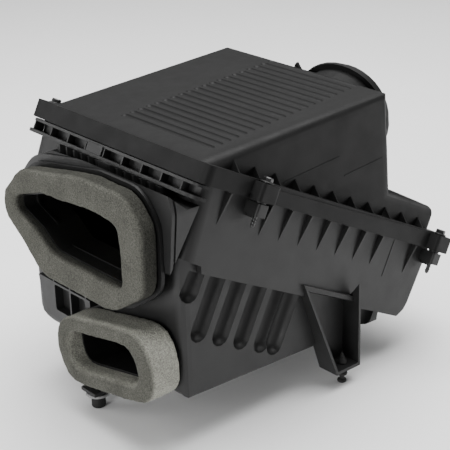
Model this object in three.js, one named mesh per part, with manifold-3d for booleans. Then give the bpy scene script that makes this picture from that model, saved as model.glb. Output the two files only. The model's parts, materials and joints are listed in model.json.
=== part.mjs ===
// Engine air filter housing: a wedge-shaped case and a cover that meet on a tilted joint face,
// with two foam-sealed inlets at one end, a round outlet at the other, and a panel filter between.
//
// Millimetres, +Z up. X runs along the long side from the inlets to the outlet, Y across it.
// Design coordinates start at the corner of the cover's rim. The last lines move the assembly so
// that its origin is under its middle, on the plane that its three rubber mounts stand on.
//
// The joint face is turned about Y by JOINT_TILT. Sizes measured along it are called u (down the
// slope), y (across) and n (square to it); n is 0 on the top of the cover's rim.

import * as THREE from 'three';
import { mergeVertices } from 'three/addons/utils/BufferGeometryUtils.js';
import Module from 'manifold-3d';

const wasm = await Module();
wasm.setup();

// ---------------------------------------------------------------- driving dimensions
const WALL = 3;
const GAP = 0.3;
const CURVE_STEPS = 4;
const BEYOND = 500;
const JOINT_TILT = THREE.MathUtils.degToRad(27.5);

// joint face and rims
const RIM_LENGTH = 400;
const RIM_WIDTH = 302;
const RIM_DEPTH = 20;
const RIM_CORNER = 10;
const COVER_PLATE = 3.5;
const CASE_PLATE_TOP = -14;
const CASE_PLATE = 3;
const RIB_PITCH = 31.3;
const FIRST_RIB = 44;
const MID_Y = RIM_WIDTH / 2;

// cover
const COVER_SIDE = 16;
const COVER_EDGE_ROUND = 14;
const COVER_CORNER = 17;
const SHOULDER_CORNER = 8;
const TOP_CREASE_HEIGHT = -4.8;
const TOP_RISE = 0.052;
const END_WALL_TOP = 271;
const END_WALL_FOOT = 279;
const SHOULDER_N = 31;
const SHOULDER_Z = -108;
const SHOULDER_END_N = 26;
const SHOULDER_END_U = 379;
const COVER_FOOT_U = 386;
const GROOVE_COUNT = 20;
const GROOVE_PITCH = 11.6;
const GROOVE_RADIUS = 5.4;
const GROOVE_DEPTH = 2.1;

// outlet
const OUTLET_RADIUS = 55;
const OUTLET_LIP_RADIUS = 61.5;
const OUTLET_CENTRE = new THREE.Vector3(292, 112, -43);
const OUTLET_TURN = THREE.MathUtils.degToRad(15);
const OUTLET_LIFT = THREE.MathUtils.degToRad(8.5);

// case
const UPPER_SIDE = 10;
const LOWER_SIDE = 17;
const UPPER_CORNER = 16;
const LOW_END_CORNER = 5;
const LOWER_CORNER = 12;
const FLOOR_ROUND = 6;
const FAR_FLOOR_ROUND = 45;
const LEDGE_N = -107.5;
const CASE_END_X = -32;
const CASE_FLOOR_LEFT = -257;
const CASE_FLOOR_RIGHT = -268.5;
const FLUTE_RADIUS = 11.5;
const FLUTE_FOOT_N = -168;

// inlets
const MAIN_FOAM_FRONT = -70;
const DUCT_FLANGE_FRONT = -48.4;
const DUCT_WALL = 2;
const DUCT_COLLAR_FRONT = -59;
const DUCT_END = -14;
const BEZEL_FRONT = -44;
const BEZEL_GROOVE = { front: -40.4, back: -37.8, depth: 1.8 };
const LOWER_FOAM_FRONT = -75;
const COMB_WALL = -25;
const COMB_FRONT = -31;
const COMB_FOOT = -42;
const COMB_STARTS = [59, 148];
const COMB_PITCH = 13.4;
const COMB_PAD = [128, 146];
const RIB_Y = [229, 198, 168];

// mounts
const FOOT_Z = -297;
const FOOT_PLATE = 4;
const MOUNT_HOLE = 5;
const MOUNT_DROP = 20.5;
const BRACKET_MOUNT = { x: 190, y: 8 };
const END_MOUNT = { x: -44, y: 157 };

// ---------------------------------------------------------------- materials
function plastic(name, color, roughness) {
  return new THREE.MeshStandardMaterial({ name, color, roughness, metalness: 0 });
}

const caseBlack = plastic('case_black', 0x2c2d2f, 0.55);
const ductBlack = plastic('duct_black', 0x262728, 0.6);
const foamGrey = plastic('foam_grey', 0x827e74, 1);
const rubberBlack = plastic('rubber_black', 0x141414, 0.8);
const sealBlack = plastic('seal_urethane', 0x30302e, 0.8);
const mediaPaper = plastic('media_paper', 0xd8cfae, 0.95);
const nylonBlack = plastic('nylon_retainer', 0x232426, 0.6);
const screwSteel = new THREE.MeshStandardMaterial({
  name: 'screw_steel', color: 0x3a3a3c, roughness: 0.4, metalness: 0.9,
});

// ---------------------------------------------------------------- frames and solids
const ORIENT = {
  // a flat shape's own x, y and depth laid along the part's axes
  alongZ: new THREE.Matrix4(),
  alongY: new THREE.Matrix4().makeBasis(
    new THREE.Vector3(1, 0, 0), new THREE.Vector3(0, 0, 1), new THREE.Vector3(0, -1, 0)),
  alongX: new THREE.Matrix4().makeBasis(
    new THREE.Vector3(0, 1, 0), new THREE.Vector3(0, 0, 1), new THREE.Vector3(1, 0, 0)),
};
const LEVEL = new THREE.Matrix4();
const JOINT = new THREE.Matrix4().makeRotationY(JOINT_TILT);

function jointPoint(u, n) {
  return [
    u * Math.cos(JOINT_TILT) + n * Math.sin(JOINT_TILT),
    n * Math.cos(JOINT_TILT) - u * Math.sin(JOINT_TILT),
  ];
}

function toSolid(geometry, frame = LEVEL) {
  const bare = new THREE.BufferGeometry();
  bare.setAttribute('position', geometry.getAttribute('position').clone());
  if (geometry.index) {
    bare.setIndex(geometry.index);
  }
  bare.applyMatrix4(frame);
  const welded = mergeVertices(bare, 1e-4);
  const mesh = new wasm.Mesh({
    numProp: 3,
    vertProperties: new Float32Array(welded.getAttribute('position').array),
    triVerts: new Uint32Array(welded.index.array),
  });
  return new wasm.Manifold(mesh);
}

function toMesh(name, solid, material) {
  const result = solid.getMesh();
  const geometry = new THREE.BufferGeometry();
  geometry.setAttribute('position', new THREE.BufferAttribute(result.vertProperties, 3));
  geometry.setIndex(new THREE.BufferAttribute(result.triVerts, 1));
  geometry.computeVertexNormals();
  const mesh = new THREE.Mesh(geometry, material);
  mesh.name = name;
  return mesh;
}

function join(solids) {
  return solids.reduce((sum, solid) => sum.add(solid));
}

// A closed outline from corners [a, b, radius]; each corner is rounded by a curve of that radius.
function roundedShape(corners) {
  const shape = new THREE.Shape();
  const count = corners.length;
  corners.forEach(([a, b, radius = 0], index) => {
    const here = new THREE.Vector2(a, b);
    const before = new THREE.Vector2(...corners[(index + count - 1) % count].slice(0, 2)).sub(here);
    const after = new THREE.Vector2(...corners[(index + 1) % count].slice(0, 2)).sub(here);
    const halfAngle = Math.abs(before.angleTo(after)) / 2;
    const reach = radius > 0 ? radius / Math.tan(halfAngle) : 0;
    const start = here.clone().addScaledVector(before.normalize(), reach);
    const end = here.clone().addScaledVector(after.normalize(), reach);
    if (index === 0) {
      shape.moveTo(start.x, start.y);
    } else {
      shape.lineTo(start.x, start.y);
    }
    if (reach > 0) {
      shape.quadraticCurveTo(here.x, here.y, end.x, end.y);
    }
  });
  shape.closePath();
  return shape;
}

// The same outline moved outwards by a distance, its corners listed counter-clockwise.
function grown(corners, distance) {
  const count = corners.length;
  const normals = corners.map(([a, b], index) => {
    const [c, d] = corners[(index + 1) % count];
    const length = Math.hypot(c - a, d - b);
    return [(d - b) / length, (a - c) / length];
  });
  return corners.map(([a, b, radius = 0], index) => {
    const [p, q] = normals[(index + count - 1) % count];
    const [r, s] = normals[index];
    const scale = distance / (1 + p * r + q * s);
    const convex = p * s - q * r > 0;
    const newRadius = radius === 0 ? 0 : Math.max(radius + (convex ? distance : -distance), 1);
    return [a + (p + r) * scale, b + (q + s) * scale, newRadius];
  });
}

function rectangle(a0, b0, a1, b1, radius = 0) {
  return [[a0, b0, radius], [a1, b0, radius], [a1, b1, radius], [a0, b1, radius]];
}

function prism(corners, orient, start, depth, frame = LEVEL) {
  const geometry = new THREE.ExtrudeGeometry(roundedShape(corners), {
    depth, curveSegments: CURVE_STEPS, bevelEnabled: false,
  });
  geometry.translate(0, 0, start);
  geometry.applyMatrix4(orient);
  return toSolid(geometry, frame);
}

function prismX(corners, low, high, frame) {
  return prism(corners, ORIENT.alongX, low, high - low, frame);
}

function prismY(corners, low, high, frame) {
  return prism(corners, ORIENT.alongY, -high, high - low, frame);
}

function prismZ(corners, low, high, frame) {
  return prism(corners, ORIENT.alongZ, low, high - low, frame);
}

// A frame moved to (x, z) and leaned about Y, so that its own Z axis follows a drafted wall.
function leaning(frame, x, z, angle) {
  const lean = new THREE.Matrix4().makeRotationY(angle).setPosition(x, 0, z);
  return frame.clone().multiply(lean);
}

function block(u0, u1, y0, y1, n0, n1, frame = JOINT) {
  const geometry = new THREE.BoxGeometry(u1 - u0, y1 - y0, n1 - n0);
  geometry.translate((u0 + u1) / 2, (y0 + y1) / 2, (n0 + n1) / 2);
  return toSolid(geometry, frame);
}

function post(u, y, radius, n0, n1, frame = JOINT, sides = 20) {
  const geometry = new THREE.CylinderGeometry(radius, radius, n1 - n0, sides);
  geometry.rotateX(Math.PI / 2);
  geometry.translate(u, y, (n0 + n1) / 2);
  return toSolid(geometry, frame);
}

// The same solid on the other long side of the housing.
function bothSides(build) {
  return [build((y) => y), build((y) => RIM_WIDTH - y)];
}

function span(low, high) {
  return low < high ? [low, high] : [high, low];
}

// ---------------------------------------------------------------- shared places
const SCREWS = [
  { u: 80, y: -2 },
  { u: 384, y: -2 },
  { u: 384, y: RIM_WIDTH + 2 },
  { u: 30, y: RIM_WIDTH + 2 },
];
const BOSS_RADIUS = 10.5;
const SCREW_RADIUS = 2.9;
const SCREW_HOLE = 3.4;
const THREAD_TURNS = 3;
const THREAD_PITCH = 3.6;
const CASE_BOSS_RADIUS = 7.5;
const CASE_BOSS_TOP = -RIM_DEPTH - 2.6;
const CASE_BOSS_FOOT = -36;
const WASHER_SEAT = -1.2;
const WASHER_ROOM = 8.2;

const FILTER_OUTER = rectangle(30, 30, 370, RIM_WIDTH - 30, 8);
const FILTER_OPENING = rectangle(42, 42, 358, RIM_WIDTH - 42, 5);

// ---------------------------------------------------------------- upper cover
function topHeight(x) {
  return TOP_CREASE_HEIGHT + TOP_RISE * (x - 9);
}

// The tall part rises from the crease to the end wall; its top slopes gently up.
function coverTower(inset) {
  const low = COVER_SIDE + inset;
  const high = RIM_WIDTH - low;
  const foot = -180;
  const profile = [
    [-60, foot],
    [END_WALL_FOOT + 5 - inset, foot],
    [END_WALL_FOOT - inset, SHOULDER_Z],
    [END_WALL_TOP - inset, topHeight(END_WALL_TOP) - inset, COVER_EDGE_ROUND],
    [-60, topHeight(-60) - inset],
  ];
  const wallLean = -Math.atan((END_WALL_FOOT - END_WALL_TOP) / (topHeight(END_WALL_TOP) - SHOULDER_Z));
  const wallFrame = leaning(LEVEL, END_WALL_FOOT, SHOULDER_Z, wallLean);
  const topFrame = leaning(LEVEL, 9, TOP_CREASE_HEIGHT, -Math.atan(TOP_RISE));
  const plan = rectangle(-BEYOND, low, -inset, high, COVER_CORNER - inset);
  const section = rectangle(low, -BEYOND, high, -inset, COVER_EDGE_ROUND - inset);
  return prismY(profile, low, high)
    .intersect(prismZ(plan, -150, 200, wallFrame))
    .intersect(prismX(section, -BEYOND, BEYOND, topFrame));
}

function coverShoulder(inset) {
  const low = COVER_SIDE + inset;
  const high = RIM_WIDTH - low;
  const profile = [
    [120, -40],
    [COVER_FOOT_U + 8 - inset, -40],
    [COVER_FOOT_U - inset, 0],
    [SHOULDER_END_U - inset, SHOULDER_END_N - inset, 12],
    [293, SHOULDER_N - inset],
    [120, SHOULDER_N - inset],
  ];
  const plan = rectangle(-BEYOND, low, COVER_FOOT_U - inset, high, SHOULDER_CORNER - inset);
  const section = rectangle(low, -BEYOND, high, SHOULDER_N - inset, COVER_EDGE_ROUND - inset);
  return prismY(profile, low, high, JOINT)
    .intersect(prismZ(plan, -60, 200, JOINT))
    .intersect(prismX(section, 0, BEYOND, JOINT));
}

function coverHood(inset, floor) {
  const above = block(9, RIM_LENGTH, 0, RIM_WIDTH, floor, 260);
  return coverTower(inset).add(coverShoulder(inset)).intersect(above);
}

function coverRim() {
  const outer = rectangle(0, 0, RIM_LENGTH, RIM_WIDTH, RIM_CORNER);
  const skirt = prismZ(outer, -RIM_DEPTH, 0, JOINT);
  const inside = prismZ(grown(outer, -WALL), -RIM_DEPTH - 1, -COVER_PLATE, JOINT);
  return skirt.subtract(inside);
}

function coverFins() {
  const fins = [];
  for (let index = 0; index < 11; index += 1) {
    const u = FIRST_RIB + index * RIB_PITCH;
    bothSides((side) => {
      const triangle = [[side(1.5), -1], [side(COVER_SIDE + 2), -1], [side(COVER_SIDE + 2), 12]];
      fins.push(prismX(triangle, u - 1.1, u + 1.1, JOINT));
    });
  }
  return fins;
}

// A round-bottomed groove across the top, which starts and ends in a ball-shaped scoop.
function topGroove(index) {
  const x = 38 + index * GROOVE_PITCH;
  const near = 42 + index * 0.75;
  const far = 191 + index * 0.3;
  const groove = new THREE.CapsuleGeometry(GROOVE_RADIUS, far - near - GROOVE_RADIUS, 3, 14);
  groove.translate(x, (near + far) / 2, topHeight(x) + GROOVE_RADIUS - GROOVE_DEPTH);
  return toSolid(groove);
}

// A small upright tab at the far edge of the top, and thin raised lines along the side wall.
function coverTrim() {
  const tab = prismX([[148, -2], [166, -2], [163, 9], [160, 12]], END_WALL_TOP - 4, END_WALL_TOP - 1);
  const wall = [COVER_SIDE - 0.4, COVER_SIDE + 1];
  const upperLine = prismY([[110, -54.2], [192, -47.4], [192, -46], [110, -52.8]], ...wall);
  const lowerLine = prismY([[200, -71.3], [259, -66.5], [259, -65.1], [200, -69.9]], ...wall);
  return [tab, upperLine, lowerLine];
}

// A rounded boss around a screw, which swells out of the rim's skirt.
function coverBoss({ u, y }) {
  const side = (distance) => (y < MID_Y ? y - distance : y + distance);
  const outline = [
    [u - 15, side(-3)], [u - 12.5, side(BOSS_RADIUS), 5], [u + 12.5, side(BOSS_RADIUS), 5],
    [u + 15, side(-3)],
  ];
  const corners = y < MID_Y ? outline : outline.reverse();
  return prismZ(corners, -RIM_DEPTH, WASHER_SEAT, JOINT)
    .add(post(u, y, BOSS_RADIUS, -RIM_DEPTH, WASHER_SEAT, JOINT, 16));
}

// The skirt stands a little proud between the first boss and the low end.
function skirtBand(side) {
  const shape = [[96, -RIM_DEPTH], [356, -RIM_DEPTH], [356, -1.4], [96, -5]];
  return prismY(shape, ...span(side(-1.2), side(1)), JOINT);
}

// A step in the skirt's lower edge beside the first boss.
function skirtNotch() {
  return prismY([[55, -21], [66, -21], [66, -15.4], [61, -15.4]], -3, 2, JOINT);
}

function outletFrame() {
  const aim = new THREE.Vector3(
    Math.cos(OUTLET_LIFT) * Math.cos(OUTLET_TURN),
    Math.cos(OUTLET_LIFT) * Math.sin(OUTLET_TURN),
    Math.sin(OUTLET_LIFT),
  );
  const turn = new THREE.Quaternion().setFromUnitVectors(new THREE.Vector3(0, 1, 0), aim);
  return new THREE.Matrix4().compose(OUTLET_CENTRE, turn, new THREE.Vector3(1, 1, 1));
}

function ringSolid(inner, outer, back, front, frame, sides = 36) {
  const profile = [[inner, back], [outer, back], [outer, front], [inner, front], [inner, back]];
  const points = profile.map(([radius, height]) => new THREE.Vector2(radius, height));
  return toSolid(new THREE.LatheGeometry(points, sides), frame);
}

function discSolid(radius, back, front, frame, sides = 36) {
  const geometry = new THREE.CylinderGeometry(radius, radius, front - back, sides);
  geometry.translate(0, (back + front) / 2, 0);
  return toSolid(geometry, frame);
}

function upperCover() {
  const frame = outletFrame();
  const tube = discSolid(OUTLET_RADIUS, -44, 14, frame);
  const lip = ringSolid(OUTLET_RADIUS - 1, OUTLET_LIP_RADIUS, -3, 2, frame);
  const lipGap = block(-7, 3, 40, 80, -8, 8, LEVEL.clone().multiply(frame));
  const bosses = SCREWS.map(coverBoss);
  const outside = join([coverHood(0, -1), coverRim(), tube, lip.subtract(lipGap), ...bosses,
    ...coverFins(), ...bothSides(skirtBand), ...coverTrim()]);
  const cavity = coverHood(WALL, 0);
  const bore = discSolid(OUTLET_RADIUS - WALL, -60, 30, frame);
  const wallBeyondBore = block(-60, 277, -20, 340, -300, 100, LEVEL);
  const screwHoles = SCREWS.map(({ u, y }) => post(u, y, SCREW_HOLE, -60, 30, JOINT, 16));
  const washerSeats = SCREWS.map(({ u, y }) => post(u, y, WASHER_ROOM, WASHER_SEAT, 12));
  const grooves = Array.from({ length: GROOVE_COUNT }, (unused, index) => topGroove(index));
  const tubeInside = discSolid(OUTLET_RADIUS + 10, -60, 30, frame).intersect(wallBeyondBore)
    .intersect(cavity);
  return outside
    .subtract(cavity)
    .subtract(tubeInside)
    .subtract(bore.subtract(block(-80, 262, -20, 340, -300, 100, LEVEL)))
    .subtract(prismZ(FILTER_OPENING, -10, 2, JOINT))
    .subtract(join(grooves))
    .subtract(join(screwHoles))
    .subtract(join(washerSeats))
    .subtract(skirtNotch());
}

// ---------------------------------------------------------------- lower case
function upperSectionProfile(inset) {
  const foot = LEDGE_N + inset;
  return [
    [7.3 + inset, -10],
    [16 + inset, -98 + inset],
    [42 + inset, -100 + inset],
    [46 + inset, foot],
    [374 - inset, foot, 4],
    [382 - inset, -98 + inset, 8],
    [388 - inset, -78 + inset, 6],
    [391.3 - inset, -10],
  ];
}

function lowerSectionProfile(inset) {
  return [
    [CASE_END_X + inset, -97 - inset],
    [CASE_END_X + inset, CASE_FLOOR_LEFT + inset, 14],
    [264 - 4 * inset, CASE_FLOOR_RIGHT + inset, 4],
    [271 - 4 * inset, -262 + inset],
    [240, -190],
    [20, -80],
  ];
}

function caseFlutes(extra, sides) {
  const flutes = [];
  const places = [46, 77, 109, 141, 173, 194, 327, 359];
  const floorSlope = (CASE_FLOOR_RIGHT - CASE_FLOOR_LEFT) / (264 - CASE_END_X);
  places.forEach((u) => {
    const [x, z] = jointPoint(u, LEDGE_N);
    const room = (z - (CASE_FLOOR_LEFT + floorSlope * (x - CASE_END_X))) * Math.cos(JOINT_TILT);
    const shortest = u < 60 ? -130 : FLUTE_FOOT_N;
    const foot = Math.max(shortest, LEDGE_N - room + 4);
    bothSides((side) => {
      const length = LEDGE_N - foot;
      const flute = new THREE.CapsuleGeometry(FLUTE_RADIUS + extra, length, sides / 4, sides);
      flute.rotateX(Math.PI / 2);
      flute.translate(u, side(LOWER_SIDE), foot + length / 2);
      flutes.push(toSolid(flute, JOINT));
    });
  });
  const top = LEDGE_N - GAP + 1.5 * extra;
  return join(flutes).intersect(block(-60, RIM_LENGTH + 60, -40, RIM_WIDTH + 40, -330, top));
}

// The bracket seen from the side: a slanted web, a foot and an upright web.
const UPRIGHT_WEB_X = 203;
const BRACKET_BACK = 20;
const BRACKET_FRONT = -5;
const BRACKET_OUTLINE = [
  [130, -175], [169, FOOT_Z], [UPRIGHT_WEB_X + WALL, FOOT_Z], [UPRIGHT_WEB_X + WALL, -188],
  [UPRIGHT_WEB_X - 1, -190], [UPRIGHT_WEB_X - 1, -212],
];
// The pocket's ceiling slopes down from the wall to the back of the bracket, as [y, n].
const CEILING_FRONT = [-20, -95];
const CEILING_BACK = [BRACKET_BACK, -103.5];

function bracketRecess(extra) {
  const outline = [
    [112 + WALL, -120], [168 + WALL, FOOT_Z + FOOT_PLATE], [UPRIGHT_WEB_X, FOOT_Z + FOOT_PLATE],
    [UPRIGHT_WEB_X, -120],
  ];
  const shape = grown(outline, extra);
  const raise = 1.3 * extra;
  return bothSides((side) => {
    const below = prismX([
      [side(CEILING_FRONT[0]), CEILING_FRONT[1] + raise], [side(CEILING_FRONT[0]), -330],
      [side(CEILING_BACK[0] + extra), -330], [side(CEILING_BACK[0] + extra), CEILING_BACK[1] + raise],
    ], 60, 340, JOINT);
    return prismY(shape, ...span(side(-20), side(BRACKET_BACK + extra))).intersect(below);
  });
}

// The slanted web leans back to the wall as it rises, and the upright web ends in a point.
function bracketBody(side) {
  const box = prismY(BRACKET_OUTLINE, ...span(side(BRACKET_FRONT), side(BRACKET_BACK + WALL)));
  const lean = prismX([[side(-20), -140], [side(-20), -320], [side(-6), -300], [side(9), -150]],
    100, UPRIGHT_WEB_X);
  const point = prismX([[side(-20), -174], [side(BRACKET_FRONT), -194], [side(UPPER_SIDE), -214],
    [side(UPPER_SIDE), -150], [side(-20), -150]], UPRIGHT_WEB_X - 1, UPRIGHT_WEB_X + 2 * WALL);
  return box.subtract(lean).subtract(point);
}

function caseBosses() {
  return SCREWS.flatMap(({ u, y }) => {
    const reach = UPPER_SIDE + 12;
    const wallY = y < MID_Y ? reach : RIM_WIDTH - reach;
    const [y0, y1] = span(y, wallY);
    const outer = y < MID_Y ? y - CASE_BOSS_RADIUS : y + CASE_BOSS_RADIUS;
    const [low, high] = span(outer, wallY);
    return [
      prismZ(rectangle(u - CASE_BOSS_RADIUS, low, u + CASE_BOSS_RADIUS, high, 3),
        CASE_BOSS_FOOT, CASE_BOSS_TOP, JOINT),
      block(u - 1.2, u + 1.2, y0, y1, CASE_BOSS_FOOT - 3, CASE_BOSS_FOOT + 1),
    ];
  });
}

function caseFins() {
  const fins = [];
  for (let index = 0; index < 11; index += 1) {
    const u = FIRST_RIB + index * RIB_PITCH;
    const besideScrew = index === 1 || index === 9;
    if (!besideScrew) {
      bothSides((side) => {
        const triangle = [
          [side(3.5), -RIM_DEPTH - 1.2], [side(UPPER_SIDE + 1), -RIM_DEPTH - 1.2],
          [side(UPPER_SIDE + 1), -62],
        ];
        fins.push(prismX(triangle, u - 1.2, u + 1.2, JOINT));
      });
    }
  }
  return fins;
}

// The rail and the lip below it run round the end's corners, with short ribs between them.
function endRail() {
  const atEnd = block(-10, 12, -5, RIM_WIDTH + 5, -60, 0);
  const rail = prismZ(rectangle(-1, 5, 60, RIM_WIDTH - 5, 13), -24, -RIM_DEPTH - 1.2, JOINT);
  const lip = prismZ(rectangle(-4, 3, 60, RIM_WIDTH - 3, 16), -36.8, -33.4, JOINT);
  const pieces = [rail, lip, block(-2, 13, 161, 187, -34, -23)];
  for (let index = 0; index < 9; index += 1) {
    const y = 30 + index * 32.2;
    pieces.push(block(-0.5, 13, y - 0.9, y + 0.9, -34, -23));
  }
  return join(pieces).intersect(atEnd);
}

// Rounded outlines of the inlets, seen from outside, as [y, z, radius].
const MAIN_FOAM_OUTLINE = [
  [27, -128, 30], [82, -166, 45], [212, -166, 40], [243, -138, 30], [277, -113, 22],
  [277, -86, 20], [240, -49, 50], [120, -28, 80], [52, -28, 36], [27, -56, 30],
];
const MAIN_OPENING = [
  [66, -131, 8], [188, -131, 22], [214, -113, 16], [252, -98, 8], [249, -86, 8],
  [200, -70, 40], [110, -63.5, 40], [68, -66, 12],
];
const DUCT_RIM = [
  [68, -129, 8], [198, -130, 20], [214, -111, 14], [247, -99, 10], [247, -86, 6],
  [200, -72, 40], [110, -66, 40], [70, -68, 12],
];
const BEZEL_OUTLINE = [
  [18, -128, 30], [74, -175, 50], [216, -175, 45], [250, -147, 30], [286, -118, 26],
  [286, -82, 24], [246, -40, 55], [120, -19, 80], [14, -19, 14], [8, -42, 30],
];

function tilted(width, height, radius, centreY, centreZ, angle) {
  const cos = Math.cos(angle);
  const sin = Math.sin(angle);
  return rectangle(-width / 2, -height / 2, width / 2, height / 2, radius)
    .map(([a, b, r]) => [centreY + a * cos - b * sin, centreZ + a * sin + b * cos, r]);
}

const LOWER_INLET_TILT = THREE.MathUtils.degToRad(-12);
const LOWER_FOAM_OUTLINE = tilted(172, 80, 39.5, 100, -225, LOWER_INLET_TILT);
const LOWER_OPENING = tilted(130, 46, 22, 105, -226, LOWER_INLET_TILT);

// The bulge behind the main inlet's flange, with a roof that slopes back to the wall of the combs.
function inletBezel(inset) {
  const collar = prismX(grown(BEZEL_OUTLINE, -inset), BEZEL_FRONT + inset, 20);
  const roof = prismY([
    [-80, 40], [-80, -22 - inset], [-46, -22 - inset], [COMB_WALL + inset, COMB_FOOT - inset],
    [12, COMB_FOOT - inset], [12, 40],
  ], -20, 340);
  const wall = block(COMB_WALL + inset, 5, 50 + inset, 228 - inset, -60, 0, LEVEL);
  const insideCase = block(11, 120, -20, 340, -240, 40);
  const aboveLip = block(-80, 120, -20, 340, -38 - inset, 40);
  return collar.subtract(roof).add(wall).subtract(insideCase).subtract(aboveLip);
}

// A shallow groove round the bulge, just behind its front.
function bezelGroove() {
  const { front, back, depth } = BEZEL_GROOVE;
  const around = prismX(grown(BEZEL_OUTLINE, 8), front, back);
  return around.subtract(prismX(grown(BEZEL_OUTLINE, -depth), front - 1, back + 1));
}

// A stiffened panel beside the lower inlet, with a shelf on top and two pockets between its ribs.
function pocketPanel() {
  const front = BEZEL_FRONT;
  const back = CASE_END_X + 1;
  const outline = [[160, -236], [236, -236, 20], [256, -206, 20], [259, -188.6, 1], [160, -188.6]];
  const pockets = [RIB_Y[1], RIB_Y[2]].map((y, index) => prismX(
    rectangle(y + 1.3, -223, RIB_Y[index] - 1.3, -191.4, 3), front - 1, back - 2.5));
  const ribs = RIB_Y.map((y) => block(front, back, y - 1.3, y + 1.3, -224, -160, LEVEL));
  const besideFoam = prismX(grown(LOWER_FOAM_OUTLINE, 1), front - 1, CASE_END_X);
  return prismX(outline, front, back).subtract(join(pockets)).add(join(ribs)).subtract(besideFoam);
}

// Two groups of short ribs under the lip, with a solid pad between them.
function inletCombs() {
  const underLip = block(-80, 60, -20, 340, -120, -36.5);
  const low = COMB_FOOT - 2;
  const back = COMB_WALL + 1;
  const bars = [block(COMB_FRONT, back, ...COMB_PAD, low, 0, LEVEL)];
  COMB_STARTS.forEach((start) => {
    for (let index = 0; index < 6; index += 1) {
      const y = start + index * COMB_PITCH;
      bars.push(block(COMB_FRONT, back, y - 1, y + 1, low, 0, LEVEL));
    }
  });
  return join(bars).intersect(underLip);
}

function endMountLug() {
  const { x, y } = END_MOUNT;
  const web = [
    [x - 8, FOOT_Z + 1], [CASE_END_X + 20, FOOT_Z + 1], [CASE_END_X + 60, -250],
    [CASE_END_X + 3, -250], [CASE_END_X + 1, -282],
  ];
  return [
    block(x - 13, CASE_END_X + 2, y - 13, y + 13, FOOT_Z, FOOT_Z + FOOT_PLATE, LEVEL),
    prismY(web, y + 10, y + 13),
    prismY(web, y - 13, y - 10),
  ];
}

function mountHoles() {
  const { x, y } = BRACKET_MOUNT;
  const places = [[x, y], [x, RIM_WIDTH - y], [END_MOUNT.x, END_MOUNT.y]];
  return places.map(([px, py]) => post(px, py, MOUNT_HOLE, FOOT_Z - 5, FOOT_Z + 12, LEVEL, 24));
}

function upperSection(inset, top) {
  const low = UPPER_SIDE + inset;
  const high = RIM_WIDTH - low;
  const leftFrame = leaning(JOINT, 8, -17, -Math.atan(8 / 81));
  const rightFrame = leaning(JOINT, 391, -17, Math.atan(3 / 61));
  const leftPlan = rectangle(inset, low, BEYOND, high, UPPER_CORNER - inset);
  const rightPlan = rectangle(-BEYOND, low, -inset, high, LOW_END_CORNER - inset);
  return prismY(upperSectionProfile(inset), low, high, JOINT)
    .intersect(prismZ(leftPlan, -160, 40, leftFrame))
    .intersect(prismZ(rightPlan, -160, 40, rightFrame))
    .intersect(block(0, RIM_LENGTH, 0, RIM_WIDTH, -140, top));
}

function lowerSection(inset) {
  const low = LOWER_SIDE + inset;
  const high = RIM_WIDTH - low;
  const floorLean = Math.atan((CASE_FLOOR_LEFT - CASE_FLOOR_RIGHT) / (264 - CASE_END_X));
  const floorFrame = leaning(LEVEL, CASE_END_X, CASE_FLOOR_LEFT, floorLean);
  const plan = rectangle(CASE_END_X + inset, low, BEYOND, high, LOWER_CORNER - inset);
  const section = [[low, inset, FLOOR_ROUND - inset], [high, inset, FAR_FLOOR_ROUND - inset],
    [high, BEYOND], [low, BEYOND]];
  return prismY(lowerSectionProfile(inset), low, high)
    .intersect(prismZ(plan, -300, 0))
    .intersect(prismX(section, -BEYOND, BEYOND, floorFrame));
}

function lowerCase() {
  const upper = upperSection(0, CASE_PLATE_TOP - 1);
  const plate = prismZ(rectangle(5, 5, RIM_LENGTH - 5, RIM_WIDTH - 5, 8),
    CASE_PLATE_TOP - CASE_PLATE, CASE_PLATE_TOP, JOINT);
  const recess = join(bracketRecess(0));
  const body = join([upper, lowerSection(0), inletBezel(0).subtract(bezelGroove())])
    .subtract(caseFlutes(0, 12))
    .subtract(recess);
  const hollow = upperSection(WALL, CASE_PLATE_TOP - CASE_PLATE - GAP)
    .add(lowerSection(WALL))
    .add(inletBezel(WALL))
    .subtract(caseFlutes(WALL, 8))
    .subtract(join(bracketRecess(WALL)));

  const mainHole = prismX(grown(MAIN_OPENING, DUCT_WALL + GAP), -60, 30);
  const lowerHole = prismX(grown(LOWER_OPENING, -0.3), -60, 20);
  const brackets = bothSides((side) => bracketBody(side).subtract(recess));
  const seam = block(322, 325, UPPER_SIDE - 0.5, UPPER_SIDE + 1, -66, -RIM_DEPTH - 1.2);
  const trim = join([...caseBosses(), ...caseFins(), endRail(), ...endMountLug(), ...brackets,
    inletCombs(), pocketPanel(), seam]);
  const screwRoom = SCREWS.flatMap(({ u, y }) => [
    post(u, y, SCREW_HOLE, -60, 0, JOINT, 16),
    post(u, y, BOSS_RADIUS + 2 * GAP, -RIM_DEPTH - GAP, 0),
  ]);
  return join([body, plate, trim])
    .subtract(hollow)
    .subtract(mainHole)
    .subtract(lowerHole)
    .subtract(prismZ(FILTER_OPENING, -30, 0, JOINT))
    .subtract(join(screwRoom))
    .subtract(join(mountHoles()));
}

// ---------------------------------------------------------------- inlets
// The duct's collar stands inside the foam, and a raised rim narrows it behind the flange.
function mainInletDuct() {
  const flange = prismX(grown(MAIN_FOAM_OUTLINE, 3), DUCT_FLANGE_FRONT, BEZEL_FRONT - GAP);
  const tube = prismX(grown(MAIN_OPENING, DUCT_WALL), DUCT_COLLAR_FRONT, DUCT_END);
  const rimFront = DUCT_FLANGE_FRONT + 5;
  const rim = prismX(grown(MAIN_OPENING, 1), rimFront, rimFront + 2.5).subtract(prismX(DUCT_RIM, -60, 0));
  return flange.add(tube).subtract(prismX(MAIN_OPENING, -70, 40)).add(rim);
}

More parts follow.
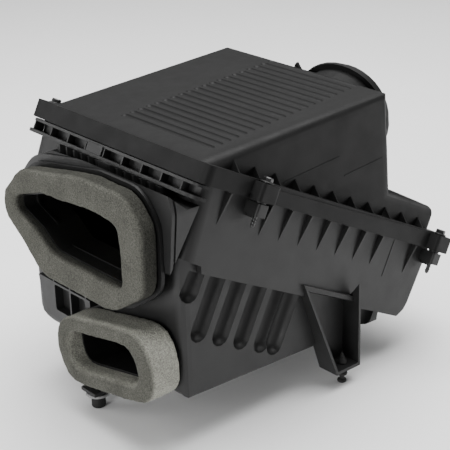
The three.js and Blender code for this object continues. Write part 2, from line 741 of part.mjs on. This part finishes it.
function lowerInletDuct() {
  const back = CASE_END_X - GAP;
  const flange = prismX(grown(LOWER_FOAM_OUTLINE, -9), back - 3, back);
  const tube = prismX(grown(LOWER_OPENING, -0.6), -52, -14);
  return flange.add(tube).subtract(prismX(grown(LOWER_OPENING, -3.1), -80, 20));
}

function foamSeal(outline, opening, front, back) {
  return prismX(outline, front, back).subtract(prismX(opening, front - 5, back + 5));
}

// ---------------------------------------------------------------- filter
function filterFrame() {
  const top = -COVER_PLATE - GAP;
  const foot = CASE_PLATE_TOP + GAP;
  const seal = prismZ(FILTER_OUTER, foot, top, JOINT);
  return seal.subtract(prismZ(FILTER_OPENING, foot - 1, top + 1, JOINT));
}

function filterMedia() {
  const pleats = 28;
  const start = 44;
  const pitch = (356 - start) / pleats;
  const top = -6;
  const foot = -50;
  const sheet = 1.4;
  const upper = [];
  const under = [];
  for (let index = 0; index <= 2 * pleats; index += 1) {
    const u = start + (index * pitch) / 2;
    const n = index % 2 === 0 ? foot : top;
    upper.push([u, n + sheet * 3]);
    under.push([u, n]);
  }
  const outline = under.concat(upper.reverse());
  return prismY(outline, 44, RIM_WIDTH - 44, JOINT);
}

// ---------------------------------------------------------------- fasteners and mounts
function turned(profile, sides) {
  const points = profile.map(([radius, height]) => new THREE.Vector2(radius, height));
  const geometry = new THREE.LatheGeometry(points, sides);
  geometry.rotateX(Math.PI / 2);
  return geometry;
}

function coverScrew() {
  const profile = [[0, 6.2], [4.2, 6.2], [5, 5.4], [5, 2], [7.6, 1.4], [7.6, 0], [SCREW_RADIUS, 0]];
  const threadTop = -36;
  profile.push([SCREW_RADIUS, threadTop]);
  for (let turn = 0; turn < THREAD_TURNS; turn += 1) {
    const z = threadTop - turn * THREAD_PITCH;
    profile.push([2.1, z - 0.8], [SCREW_RADIUS, z - 1.6], [SCREW_RADIUS, z - 2.2]);
  }
  const tip = threadTop - THREAD_TURNS * THREAD_PITCH - 1;
  profile.push([1.2, tip], [0, tip]);
  return toSolid(turned(profile.reverse(), 10));
}

function screwRetainer() {
  const inner = SCREW_RADIUS + GAP;
  const profile = [[inner, -0.9], [6, -0.9], [6, 0.9], [inner, 0.9], [inner, -0.9]];
  return toSolid(turned(profile, 16));
}

// Pull-through rubber mount: a pointed tail above the foot plate, a groove that the plate sits in,
// then a stem, a flange and a rounded nose that goes into the vehicle's bracket.
function rubberMount() {
  const plate = FOOT_PLATE + 2 * GAP;
  const grip = MOUNT_HOLE - GAP;
  const profile = [
    [0, -MOUNT_DROP], [4.4, -MOUNT_DROP], [5.4, -19.4], [5.2, -17.2], [2.6, -15.8], [2.6, -12.4],
    [6.2, -10.4], [6.4, -8], [3.4, -7], [3.4, -2], [5.8, -1.6], [5.8, -GAP], [grip, -GAP],
    [grip, plate - GAP], [6.2, plate - GAP], [5.4, plate + 3], [0.8, plate + 14], [0, plate + 14],
  ];
  return toSolid(turned(profile, 12));
}

function endBumper() {
  const plate = FOOT_PLATE + 2 * GAP;
  const grip = MOUNT_HOLE - GAP;
  const profile = [
    [0, -MOUNT_DROP], [6.5, -MOUNT_DROP], [8, -MOUNT_DROP + 1.5], [8, -8], [6.5, -5.2],
    [grip, -5.2], [grip, plate - GAP], [6.2, plate - GAP], [5.4, plate + 3], [1, plate + 8],
    [0, plate + 8],
  ];
  return toSolid(turned(profile, 16));
}

function endWasher() {
  const profile = [[5, -4.8], [13.5, -4.8], [13.5, -1.2], [5, -1.2], [5, -4.8]];
  return toSolid(turned(profile, 24));
}

function placed(name, solid, material, x, y, z) {
  const mesh = toMesh(name, solid, material);
  mesh.position.set(x, y, z);
  return mesh;
}

// ---------------------------------------------------------------- assembly
const assembly = new THREE.Group();

assembly.add(toMesh('lower_case', lowerCase(), caseBlack));
assembly.add(toMesh('upper_cover', upperCover(), caseBlack));
assembly.add(toMesh('main_inlet_duct', mainInletDuct(), ductBlack));
assembly.add(toMesh('lower_inlet_duct', lowerInletDuct(), ductBlack));
assembly.add(toMesh('main_foam_seal',
  foamSeal(MAIN_FOAM_OUTLINE, grown(MAIN_OPENING, DUCT_WALL + GAP), MAIN_FOAM_FRONT,
    DUCT_FLANGE_FRONT - GAP), foamGrey));
assembly.add(toMesh('lower_foam_seal',
  foamSeal(LOWER_FOAM_OUTLINE, LOWER_OPENING, LOWER_FOAM_FRONT, CASE_END_X - 3 - 2 * GAP), foamGrey));
assembly.add(toMesh('filter_seal_frame', filterFrame(), sealBlack));
assembly.add(toMesh('filter_media', filterMedia(), mediaPaper));

const jointGroup = new THREE.Group();
jointGroup.rotation.y = JOINT_TILT;
SCREWS.forEach(({ u, y }, index) => {
  jointGroup.add(placed(`cover_screw_${index + 1}`, coverScrew(), screwSteel, u, y, WASHER_SEAT + GAP));
  const below = -RIM_DEPTH - 1.3;
  jointGroup.add(placed(`screw_retainer_${index + 1}`, screwRetainer(), nylonBlack, u, y, below));
});
assembly.add(jointGroup);

const { x: bracketX, y: bracketY } = BRACKET_MOUNT;
assembly.add(placed('rubber_mount_front', rubberMount(), rubberBlack, bracketX, bracketY, FOOT_Z));
assembly.add(placed('rubber_mount_rear', rubberMount(), rubberBlack,
  bracketX, RIM_WIDTH - bracketY, FOOT_Z));
assembly.add(placed('rubber_mount_end', endBumper(), rubberBlack, END_MOUNT.x, END_MOUNT.y, FOOT_Z));
assembly.add(placed('mount_washer', endWasher(), screwSteel, END_MOUNT.x, END_MOUNT.y, FOOT_Z));

const housing = new THREE.Group();
housing.add(assembly);
housing.updateMatrixWorld(true);
const extent = new THREE.Box3().setFromObject(housing, true);
const middle = extent.getCenter(new THREE.Vector3());
assembly.position.set(-middle.x, -middle.y, -extent.min.z);

export default housing;
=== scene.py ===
# Looks for the engine air filter housing. Metres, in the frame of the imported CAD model.
import json
import math

import bmesh
import bpy
from mathutils import Matrix, Vector, noise


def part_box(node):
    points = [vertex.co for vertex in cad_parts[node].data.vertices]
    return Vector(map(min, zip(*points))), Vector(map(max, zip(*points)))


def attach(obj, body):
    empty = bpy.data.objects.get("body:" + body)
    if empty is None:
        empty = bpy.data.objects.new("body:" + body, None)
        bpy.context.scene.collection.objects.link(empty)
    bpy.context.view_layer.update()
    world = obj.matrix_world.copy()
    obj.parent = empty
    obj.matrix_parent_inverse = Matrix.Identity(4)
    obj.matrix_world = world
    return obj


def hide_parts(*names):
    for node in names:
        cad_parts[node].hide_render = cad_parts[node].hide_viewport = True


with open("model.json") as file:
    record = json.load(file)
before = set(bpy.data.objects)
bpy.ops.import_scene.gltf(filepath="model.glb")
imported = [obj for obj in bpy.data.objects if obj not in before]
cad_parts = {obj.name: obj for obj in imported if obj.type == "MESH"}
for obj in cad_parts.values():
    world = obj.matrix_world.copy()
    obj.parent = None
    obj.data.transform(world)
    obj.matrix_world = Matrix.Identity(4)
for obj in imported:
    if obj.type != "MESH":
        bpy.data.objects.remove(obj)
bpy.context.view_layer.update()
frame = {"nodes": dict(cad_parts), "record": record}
NODES = frame["nodes"]

MM = 0.001

# The joint face between case and cover slopes down towards +X.
# A name ending in U is a distance down that slope from the rim's upper edge.
JOINT_TILT = math.radians(27.5)
JOINT_NORMAL = Vector((math.sin(JOINT_TILT), 0, math.cos(JOINT_TILT)))
DOWN_SLOPE = Vector((math.cos(JOINT_TILT), 0, -math.sin(JOINT_TILT)))
FIRST_SCREW_U = 80 * MM
SCREW_SEAT_DEPTH = 0.9 * MM
RETAINER_DROP = 20.4 * MM
MOUNT_DROP = 20.5 * MM

# Most values of a noise texture lie between these two.
NOISE_LOW = 0.3
NOISE_HIGH = 0.7
EDGE_SHARPEST = math.radians(32)
EDGE_SEGMENTS = 2
FLAT_WITHIN = math.radians(0.5)

CAMERA_PLACE = Vector((-0.91496, -1.08382, 0.7788))
CAMERA_RIGHT = Vector((0.7548, -0.65536, -0.02787))
CAMERA_UP = Vector((0.27961, 0.28302, 0.91745))
CAMERA_LENS = 107.82
STUDIO_AIM = (0, 0, 0.15)
FLOOR_REACH = 6

PLEATS = 62
STEPS_PER_PLEAT = 8
PLEAT_TOP = -2.5 * MM
PLEAT_FOOT = -49 * MM
PLEAT_REACH = 0.98
PLEAT_SQUARENESS = 0.6
FIRST_PLEAT_U = 44.5 * MM
LAST_PLEAT_U = 355.5 * MM
PAPER_THICKNESS = 0.8 * MM
PAPER_LANES = 12

FOAM_VOXEL = 2.2 * MM
FOAM_SMOOTHING = 22
FOAM_TONE = 0.082
# Between these depths behind the front face, the foam's tone ramps from the face tone to a painted side
# tone: painted shade on the main ring's sides, painted light on the lower ring's sides.
FOAM_FACE_DEPTH = 1.2 * MM
FOAM_PAINTED_SIDE_DEPTH = 6 * MM
# How wide each kind of unevenness is, and how high in millimetres.
FOAM_LUMPS = ((30 * MM, 1.0), (8 * MM, 0.5), (3 * MM, 0.35))

# Turned shapes, as (radius, height) in millimetres from the bottom up.
SCREW_SHANK = [
    (0, -47.8), (1.2, -47.2), (2.2, -45.6), (2.2, -36.2), (2.9, -35.4), (2.9, 0.2),
    (6.8, 0.1), (7.6, 0.5), (7.6, 1.1), (6.2, 1.9), (5.2, 2.1), (0, 2.1),
]
SCREW_HEXAGON = [(0, 1.8), (5.5, 1.8), (5.5, 5.3), (4.8, 6.1), (3.4, 6.1), (2.8, 5.4), (0, 5.3)]
BARBED_PEG = [
    (0, -20.5), (4, -20.5), (5, -19.8), (5.4, -18.6), (5, -17), (3, -15.9), (2.6, -15),
    (2.6, -12.6), (3.4, -11.8), (5.8, -10.6), (6.4, -9.2), (5.9, -7.9), (3.8, -7.2),
    (3.4, -6.2), (3.4, -2.4), (4.2, -1.9), (5.8, -1.5), (5.8, -0.4), (4.7, -0.3),
    (4.7, 4.2), (5.6, 4.3), (6.2, 4.9), (6, 6.2), (5.3, 7.4), (4.4, 10), (3.6, 10.4),
    (2.8, 13.4), (2.1, 13.8), (0.9, 17.6), (0, 18),
]
END_BUMPER = [
    (0, -20.5), (5.8, -20.5), (7.3, -19.9), (8, -18.6), (8, -8.6), (7.4, -6.4),
    (6.3, -5.2), (4.7, -5.1), (4.7, 4.2), (5.6, 4.3), (6.2, 4.9), (5.4, 7.3),
    (1.6, 11.8), (0, 12.2),
]


# ------------------------------------------------------------------ the frame
def joint_place(name):
    joints = {joint["name"]: joint for joint in frame["record"]["behaviour"]["joints"]}
    return Vector(joints[name]["pos_m"])


def rim_corner():
    """The joint face's corner, which the distances down the slope and square to it start from."""
    place = joint_place("screw_1_turn")
    corner = place - DOWN_SLOPE * FIRST_SCREW_U + JOINT_NORMAL * SCREW_SEAT_DEPTH
    return Vector((corner.x, 0, corner.z))


def foot_place(node):
    """The point on a rubber mount's axis at the underside of its foot plate."""
    low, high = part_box(node)
    return Vector(((low[0] + high[0]) / 2, (low[1] + high[1]) / 2, low[2] + MOUNT_DROP))


def stand_for(piece, node, body):
    """Shows the piece in place of the CAD node. It moves with the body."""
    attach(piece, body)
    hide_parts(node)


# ------------------------------------------------------------------ camera, light, floor
def add_camera():
    data = bpy.data.cameras.new("camera")
    data.lens = CAMERA_LENS
    data.sensor_width = 36
    camera = bpy.data.objects.new("camera", data)
    back = CAMERA_RIGHT.cross(CAMERA_UP)
    turn = Matrix((CAMERA_RIGHT, CAMERA_UP, back)).transposed().to_4x4()
    camera.matrix_world = Matrix.Translation(CAMERA_PLACE) @ turn
    bpy.context.scene.collection.objects.link(camera)
    bpy.context.scene.camera = camera


def add_area_light(name, place, size, watts):
    data = bpy.data.lights.new(name, "AREA")
    data.shape = "RECTANGLE"
    data.size, data.size_y = size
    data.energy = watts
    light = bpy.data.objects.new(name, data)
    light.location = place
    light.rotation_mode = "QUATERNION"
    light.rotation_quaternion = (Vector(STUDIO_AIM) - Vector(place)).to_track_quat("-Z", "Y")
    bpy.context.scene.collection.objects.link(light)


def add_lights():
    add_area_light("overhead", (0.2, 0.1, 2.0), (2.0, 2.0), 108)
    add_area_light("backdrop", (1.9, 2.1, 1.5), (3.0, 1.2), 4)
    add_area_light("right_front", (1.6, -0.9, 0.25), (0.6, 0.4), 9)
    add_area_light("inlet_side", (-2.2, -0.5, 0.7), (0.9, 0.9), 26)
    add_area_light("far_left", (-1.55, 1.4, 0.8), (1.2, 0.8), 16)
    world = bpy.data.worlds.new("studio")
    world.use_nodes = True
    background = world.node_tree.nodes["Background"]
    background.inputs["Color"].default_value = (1, 1, 1, 1)
    background.inputs["Strength"].default_value = 0.2
    bpy.context.scene.world = world


def add_floor():
    signs = [(-1, -1), (1, -1), (1, 1), (-1, 1)]
    corners = [(FLOOR_REACH * x, FLOOR_REACH * y, 0) for x, y in signs]
    mesh = bpy.data.meshes.new("floor")
    mesh.from_pydata(corners, [], [(0, 1, 2, 3)])
    floor = bpy.data.objects.new("floor", mesh)
    floor.data.materials.append(floor_material())
    bpy.context.scene.collection.objects.link(floor)


# ------------------------------------------------------------------ material helpers
class Material:
    """A node tree with short calls for the nodes that the materials below share."""

    def __init__(self, name, roughness, specular=0.5, metallic=0.0):
        self.material = bpy.data.materials.new(name)
        self.material.use_nodes = True
        self.tree = self.material.node_tree
        self.shader = self.tree.nodes["Principled BSDF"]
        self.shader.inputs["Roughness"].default_value = roughness
        self.shader.inputs["Specular IOR Level"].default_value = specular
        self.shader.inputs["Metallic"].default_value = metallic
        self.place = self.tree.nodes.new("ShaderNodeTexCoord").outputs["Object"]

    def link(self, output, node, socket):
        self.tree.links.new(output, node.inputs[socket])

    def noise(self, size, detail=3.0, roughness=0.55):
        node = self.tree.nodes.new("ShaderNodeTexNoise")
        node.inputs["Scale"].default_value = 1 / size
        node.inputs["Detail"].default_value = detail
        node.inputs["Roughness"].default_value = roughness
        self.link(self.place, node, "Vector")
        return node.outputs["Fac"]

    def cells(self, size):
        node = self.tree.nodes.new("ShaderNodeTexVoronoi")
        node.inputs["Scale"].default_value = 1 / size
        self.link(self.place, node, "Vector")
        return node.outputs["Distance"]

    def ramp(self, value, stops):
        node = self.tree.nodes.new("ShaderNodeValToRGB")
        ramp = node.color_ramp
        while len(ramp.elements) < len(stops):
            ramp.elements.new(0.5)
        for element, (position, colour) in zip(ramp.elements, stops):
            element.position = position
            element.color = (*colour, 1)
        self.link(value, node, "Fac")
        return node.outputs["Color"]

    def mottled(self, noise_value, dark, light):
        return self.ramp(noise_value, [(NOISE_LOW, dark), (NOISE_HIGH, light)])

    def times(self, colour, other):
        node = self.tree.nodes.new("ShaderNodeVectorMath")
        node.operation = "MULTIPLY"
        self.tree.links.new(colour, node.inputs[0])
        self.tree.links.new(other, node.inputs[1])
        return node.outputs["Vector"]

    def spread(self, value, low, high):
        node = self.tree.nodes.new("ShaderNodeMapRange")
        node.inputs["From Min"].default_value = NOISE_LOW
        node.inputs["From Max"].default_value = NOISE_HIGH
        node.inputs["To Min"].default_value = low
        node.inputs["To Max"].default_value = high
        self.link(value, node, "Value")
        return node.outputs["Result"]

    def bump(self, height, distance, strength=1.0, below=None):
        node = self.tree.nodes.new("ShaderNodeBump")
        node.inputs["Strength"].default_value = strength
        node.inputs["Distance"].default_value = distance
        self.link(height, node, "Height")
        if below is not None:
            self.link(below, node, "Normal")
        return node.outputs["Normal"]


def grey(level, warmth=0.0):
    return (level * (1 + warmth), level, level * (1 - warmth))


def floor_material():
    made = Material("studio_floor", 0.9, specular=0.1)
    tone = made.mottled(made.noise(0.4, detail=2), grey(0.9), grey(0.92))
    made.link(tone, made.shader, "Base Color")
    return made.material


def moulded_plastic(name, level, roughness, sheen, grain=0.0007):
    """Black injection-moulded plastic: cloudy tone, faint sink ripple and a fine spark-eroded grain."""
    made = Material(name, roughness, specular=sheen)
    tone = made.mottled(made.noise(0.045, detail=4), grey(level * 0.85), grey(level * 1.15))
    made.link(tone, made.shader, "Base Color")
    made.link(made.spread(made.noise(0.02, detail=5), roughness - 0.06, roughness + 0.07),
              made.shader, "Roughness")
    ripple = made.bump(made.noise(0.03, detail=1), 0.0005, strength=0.3)
    made.link(made.bump(made.noise(grain, detail=3), 0.00006, strength=0.7, below=ripple),
              made.shader, "Normal")
    return made.material


def foam_tone(level):
    return (level, level, level * 0.87)


def open_cell_foam(name, level, painted_side_level, front):
    """Cut foam: pale and porous on its front face. Behind the face the tone ramps to a side tone set to
    match how lit the sides look: painted shade on the main ring's sides, painted light on the lower
    ring's sides.
    """
    made = Material(name, 1.0, specular=0.06)
    apart = made.tree.nodes.new("ShaderNodeSeparateXYZ")
    made.link(made.place, apart, "Vector")
    # Painted shade and painted light on the foam's sides: the tone is set by depth behind the front
    # face.
    depth = made.tree.nodes.new("ShaderNodeMapRange")
    depth.inputs["From Min"].default_value = front + FOAM_FACE_DEPTH
    depth.inputs["From Max"].default_value = front + FOAM_PAINTED_SIDE_DEPTH
    made.link(apart.outputs["X"], depth, "Value")
    tone = made.ramp(depth.outputs["Result"],
                     [(0.0, foam_tone(level)), (1.0, foam_tone(painted_side_level))])
    worn = made.mottled(made.noise(0.03, detail=4), grey(0.82), grey(1.12))
    speckle = made.ramp(made.noise(0.0016, detail=4, roughness=0.7),
                        [(0.36, grey(0.55)), (0.64, grey(1.25))])
    made.link(made.times(made.times(tone, worn), speckle), made.shader, "Base Color")
    coarse = made.bump(made.noise(0.004, detail=3), 0.0008, strength=0.5)
    made.link(made.bump(made.cells(0.0014), 0.0007, strength=0.8, below=coarse),
              made.shader, "Normal")
    return made.material


def rubber(name):
    made = Material(name, 0.7, specular=0.35)
    dust = made.noise(0.012, detail=5)
    made.link(made.ramp(dust, [(0.35, grey(0.008)), (0.75, grey(0.022, 0.04))]),
              made.shader, "Base Color")
    made.link(made.bump(made.noise(0.0006), 0.00005, strength=0.5), made.shader, "Normal")
    return made.material


def plated_steel(name, level, roughness):
    made = Material(name, roughness, metallic=0.85)
    tone = made.mottled(made.noise(0.006, detail=5), grey(level * 0.75), grey(level * 1.2))
    made.link(tone, made.shader, "Base Color")
    made.link(made.spread(made.noise(0.002, detail=4), roughness - 0.08, roughness + 0.1),
              made.shader, "Roughness")
    made.link(made.bump(made.noise(0.0004), 0.00003, strength=0.4), made.shader, "Normal")
    return made.material


def filter_paper(name):
    made = Material(name, 0.95, specular=0.1)
    fibres = made.noise(0.0018, detail=6, roughness=0.75)
    made.link(made.mottled(fibres, (0.52, 0.46, 0.31), (0.7, 0.64, 0.47)), made.shader, "Base Color")
    made.link(made.bump(fibres, 0.0002, strength=0.6), made.shader, "Normal")
    return made.material


def nylon(name):
    made = Material(name, 0.5)
    made.link(made.mottled(made.noise(0.01), grey(0.012), grey(0.02)), made.shader, "Base Color")
    made.link(made.bump(made.noise(0.0008), 0.00004, strength=0.4), made.shader, "Normal")
    return made.material


# ------------------------------------------------------------------ moulded pieces from the CAD nodes
def soften_edges(piece, radius):
    """Merges flat facets, rounds every real edge, and shades the round stretches smooth."""
    weld = piece.modifiers.new("weld", "WELD")
    weld.merge_threshold = 1e-6
    flats = piece.modifiers.new("flats", "DECIMATE")
    flats.decimate_type = "DISSOLVE"
    flats.angle_limit = FLAT_WITHIN
    bevel = piece.modifiers.new("edges", "BEVEL")
    bevel.width = radius
    bevel.segments = EDGE_SEGMENTS
    bevel.limit_method = "ANGLE"
    bevel.angle_limit = EDGE_SHARPEST
    for polygon in piece.data.polygons:
        polygon.use_smooth = True
    normals = piece.modifiers.new("normals", "WEIGHTED_NORMAL")
    normals.keep_sharp = True


def dress(node, material, radius):
    piece = NODES[node]
    piece.data.materials.clear()
    piece.data.materials.append(material)
    soften_edges(piece, radius)


def dress_cad_nodes():
    # One black plastic in three tones, each matched to how lit its part looks: painted light on the case
    # (lighter tone), painted shade on the cover and ducts (darker tone).
    duct = moulded_plastic("duct_plastic", 0.005, 0.5, sheen=0.22)
    dress("upper_cover", moulded_plastic("cover_plastic", 0.005, 0.55, sheen=0.17), 0.6 * MM)
    dress("lower_case", moulded_plastic("case_plastic", 0.013, 0.45, sheen=0.3), 0.6 * MM)
    for node in ("main_inlet_duct", "lower_inlet_duct"):
        dress(node, duct, 0.4 * MM)
    dress("filter_seal_frame", rubber("seal_urethane"), 1.5 * MM)


# ------------------------------------------------------------------ turned pieces
class Solid:
    """Vertices and faces of a piece, gathered in millimetres about its own axis."""

    def __init__(self):
        self.vertices = []
        self.faces = []

    def ring(self, radius, height, sides, phase=0.0):
        start = len(self.vertices)
        count = sides if radius > 0 else 1
        for step in range(count):
            angle = math.tau * (step + phase) / sides
            self.vertices.append((radius * math.cos(angle), radius * math.sin(angle), height))
        return list(range(start, start + count))

    def bridge(self, low, high):
        sides = max(len(low), len(high))
        for step in range(sides):
            after = (step + 1) % sides
            if len(low) == 1:
                self.faces.append((low[0], high[after], high[step]))
            elif len(high) == 1:
                self.faces.append((low[step], low[after], high[0]))
            else:
                self.faces.append((low[step], low[after], high[after], high[step]))

    def turned(self, profile, sides, phase=0.0):
        """Adds the solid that a profile sweeps out. The profile starts and ends on the axis."""
        rings = [self.ring(radius, height, sides, phase) for radius, height in profile]
        for low, high in zip(rings, rings[1:]):
            self.bridge(low, high)

    def washer(self, inner, outer, bottom, top, sides, edge=0.4):
        """A flat ring with its corners taken off."""
        profile = [
            (inner, bottom + edge), (inner + edge, bottom), (outer - edge, bottom),
            (outer, bottom + edge), (outer, top - edge), (outer - edge, top),
            (inner + edge, top), (inner, top - edge),
        ]
        rings = [self.ring(radius, height, sides) for radius, height in profile]
        for low, high in zip(rings, rings[1:] + rings[:1]):
            self.bridge(low, high)

    def thread(self, root, crest, top, pitch, turns, steps=28):
        """A ridge of triangular section wound down a shank, running out at both ends."""
        sections = []
        count = int(turns * steps)
        for step in range(count + 1):
            angle = math.tau * step / steps
            height = top - pitch * step / steps
            run_out = min(1.0, step / 10, (count - step) / 10)
            outer = root + (crest - root) * run_out
            half = 0.1 + 0.75 * run_out
            start = len(self.vertices)
            for radius, z in ((root - 0.3, height - half), (outer, height), (root - 0.3, height + half)):
                self.vertices.append((radius * math.cos(angle), radius * math.sin(angle), z))
            sections.append([start, start + 1, start + 2])
        for low, high in zip(sections, sections[1:]):
            self.bridge(low, high)
        self.faces.append(tuple(sections[0]))
        self.faces.append(tuple(reversed(sections[-1])))

    def piece(self, name, place, axis, material, radius=None):
        mesh = bpy.data.meshes.new(name)
        turn = Vector((0, 0, 1)).rotation_difference(Vector(axis))
        points = [Vector(place) + turn @ (Vector(vertex) * MM) for vertex in self.vertices]
        mesh.from_pydata(points, [], self.faces)
        shell = bmesh.new()
        shell.from_mesh(mesh)
        bmesh.ops.recalc_face_normals(shell, faces=shell.faces)
        shell.to_mesh(mesh)
        shell.free()
        mesh.materials.append(material)
        piece = bpy.data.objects.new(name, mesh)
        bpy.context.scene.collection.objects.link(piece)
        if radius:
            soften_edges(piece, radius)
        return piece


def add_screws():
    """Flanged hexagon screws: a chamfered head with a dished top, a shank and a wound thread."""
    steel = plated_steel("screw_steel", 0.06, 0.36)
    ring = nylon("retainer_nylon")
    for number in range(1, 5):
        place = joint_place(f"screw_{number}_turn")
        screw = Solid()
        screw.turned(SCREW_SHANK, sides=40)
        screw.turned(SCREW_HEXAGON, sides=6, phase=0.25)
        screw.thread(root=2.2, crest=2.9, top=-36.2, pitch=3.2, turns=3)
        piece = screw.piece(f"hex_screw_{number}", place, JOINT_NORMAL, steel, 0.15 * MM)
        stand_for(piece, f"cover_screw_{number}", f"screw_{number}")
        retainer = Solid()
        retainer.washer(inner=3.2, outer=6, bottom=-0.9, top=0.9, sides=32)
        seat = place - JOINT_NORMAL * RETAINER_DROP
        piece = retainer.piece(f"push_ring_{number}", seat, JOINT_NORMAL, ring)
        stand_for(piece, f"screw_retainer_{number}", "cover")


def add_rubber_mounts():
    """Two barbed pegs and the bumper at the inlet end, with its washer."""
    material = rubber("mount_rubber")
    for node, name in (("rubber_mount_front", "front_peg"), ("rubber_mount_rear", "rear_peg")):
        peg = Solid()
        peg.turned(BARBED_PEG, sides=40)
        stand_for(peg.piece(name, foot_place(node), (0, 0, 1), material, 0.2 * MM),
                  node, "case")
    bumper = Solid()
    bumper.turned(END_BUMPER, sides=40)
    place = foot_place("rubber_mount_end")
    stand_for(bumper.piece("end_bumper", place, (0, 0, 1), material, 0.3 * MM),
              "rubber_mount_end", "case")
    washer = Solid()
    washer.washer(inner=5, outer=13.5, bottom=-4.8, top=-1.2, sides=48)
    stand_for(washer.piece("cup_washer", place, (0, 0, 1), plated_steel("washer_steel", 0.3, 0.35)),
              "mount_washer", "case")


# ------------------------------------------------------------------ filter
def pleat_rows():
    """Points along the folded paper, on the plane y = 0, from the top of the slope to its foot."""
    corner = rim_corner()
    steps = PLEATS * STEPS_PER_PLEAT
    rows = []
    for step in range(steps + 1):
        along = step / steps
        wave = math.cos(math.tau * PLEATS * along)
        wave = math.copysign(abs(wave) ** PLEAT_SQUARENESS, wave)
        n = (PLEAT_TOP + PLEAT_FOOT) / 2 + (PLEAT_TOP - PLEAT_FOOT) / 2 * wave * PLEAT_REACH
        u = FIRST_PLEAT_U + (LAST_PLEAT_U - FIRST_PLEAT_U) * along
        rows.append(corner + DOWN_SLOPE * u + JOINT_NORMAL * n)
    return rows


def add_filter_media():
    """Pleated paper between the seal's edges: rounded folds across the panel, with thickness."""
    low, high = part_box("filter_media")
    rows = pleat_rows()
    lanes = [low[1] + (high[1] - low[1]) * lane / PAPER_LANES for lane in range(PAPER_LANES + 1)]
    points = [Vector((row.x, y, row.z)) for row in rows for y in lanes]
    faces = []
    for row in range(len(rows) - 1):
        for lane in range(PAPER_LANES):
            a = row * len(lanes) + lane
            b = a + len(lanes)
            faces.append((a, a + 1, b + 1, b))
    mesh = bpy.data.meshes.new("pleated_paper")
    mesh.from_pydata(points, [], faces)
    for polygon in mesh.polygons:
        polygon.use_smooth = True
    mesh.materials.append(filter_paper("filter_paper"))
    piece = bpy.data.objects.new("pleated_paper", mesh)
    bpy.context.scene.collection.objects.link(piece)
    sheet = piece.modifiers.new("sheet", "SOLIDIFY")
    sheet.thickness = PAPER_THICKNESS
    sheet.offset = 0
    stand_for(piece, "filter_media", "filter")


# ------------------------------------------------------------------ foam seals
def applied(piece):
    """The piece's mesh with its modifiers worked out and removed."""
    graph = bpy.context.evaluated_depsgraph_get()
    mesh = bpy.data.meshes.new_from_object(piece.evaluated_get(graph))
    piece.modifiers.clear()
    piece.data = mesh
    return mesh


def roughen(mesh):
    """Lumps, dents and cell-sized bumps, pushed in and out along the surface's own normals."""
    normals = [vertex.normal.copy() for vertex in mesh.vertices]
    for vertex, normal in zip(mesh.vertices, normals):
        height = sum(noise.noise(vertex.co / size) * weight for size, weight in FOAM_LUMPS)
        vertex.co += normal * height * MM


def foam_seal(node, name, material):
    """A foam ring with worn, rounded edges, in place of the plain ring of the CAD node."""
    piece = bpy.data.objects.new(name, NODES[node].data.copy())
    bpy.context.scene.collection.objects.link(piece)
    shell = piece.modifiers.new("cells", "REMESH")
    shell.mode = "VOXEL"
    shell.voxel_size = FOAM_VOXEL
    worn = piece.modifiers.new("worn_edges", "SMOOTH")
    worn.factor = 0.5
    worn.iterations = FOAM_SMOOTHING
    mesh = applied(piece)
    roughen(mesh)
    for polygon in mesh.polygons:
        polygon.use_smooth = True
    mesh.materials.clear()
    mesh.materials.append(material)
    piece.modifiers.new("finer", "SUBSURF").render_levels = 1
    stand_for(piece, node, "case")


def add_foam_seals():
    # Painted side tones: darker than the face on the main ring as painted shade, lighter than the face
    # on the lower ring as painted light.
    for node, name, painted_side_tone in (("main_foam_seal", "main_foam_ring", 0.036),
                             ("lower_foam_seal", "lower_foam_ring", 0.26)):
        lowest_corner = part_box(node)[0]
        foam_seal(node, name, open_cell_foam(f"{name}_cells", FOAM_TONE, painted_side_tone, lowest_corner.x))


add_camera()
add_lights()
add_floor()
dress_cad_nodes()
add_screws()
add_rubber_mounts()
add_filter_media()
add_foam_seals()
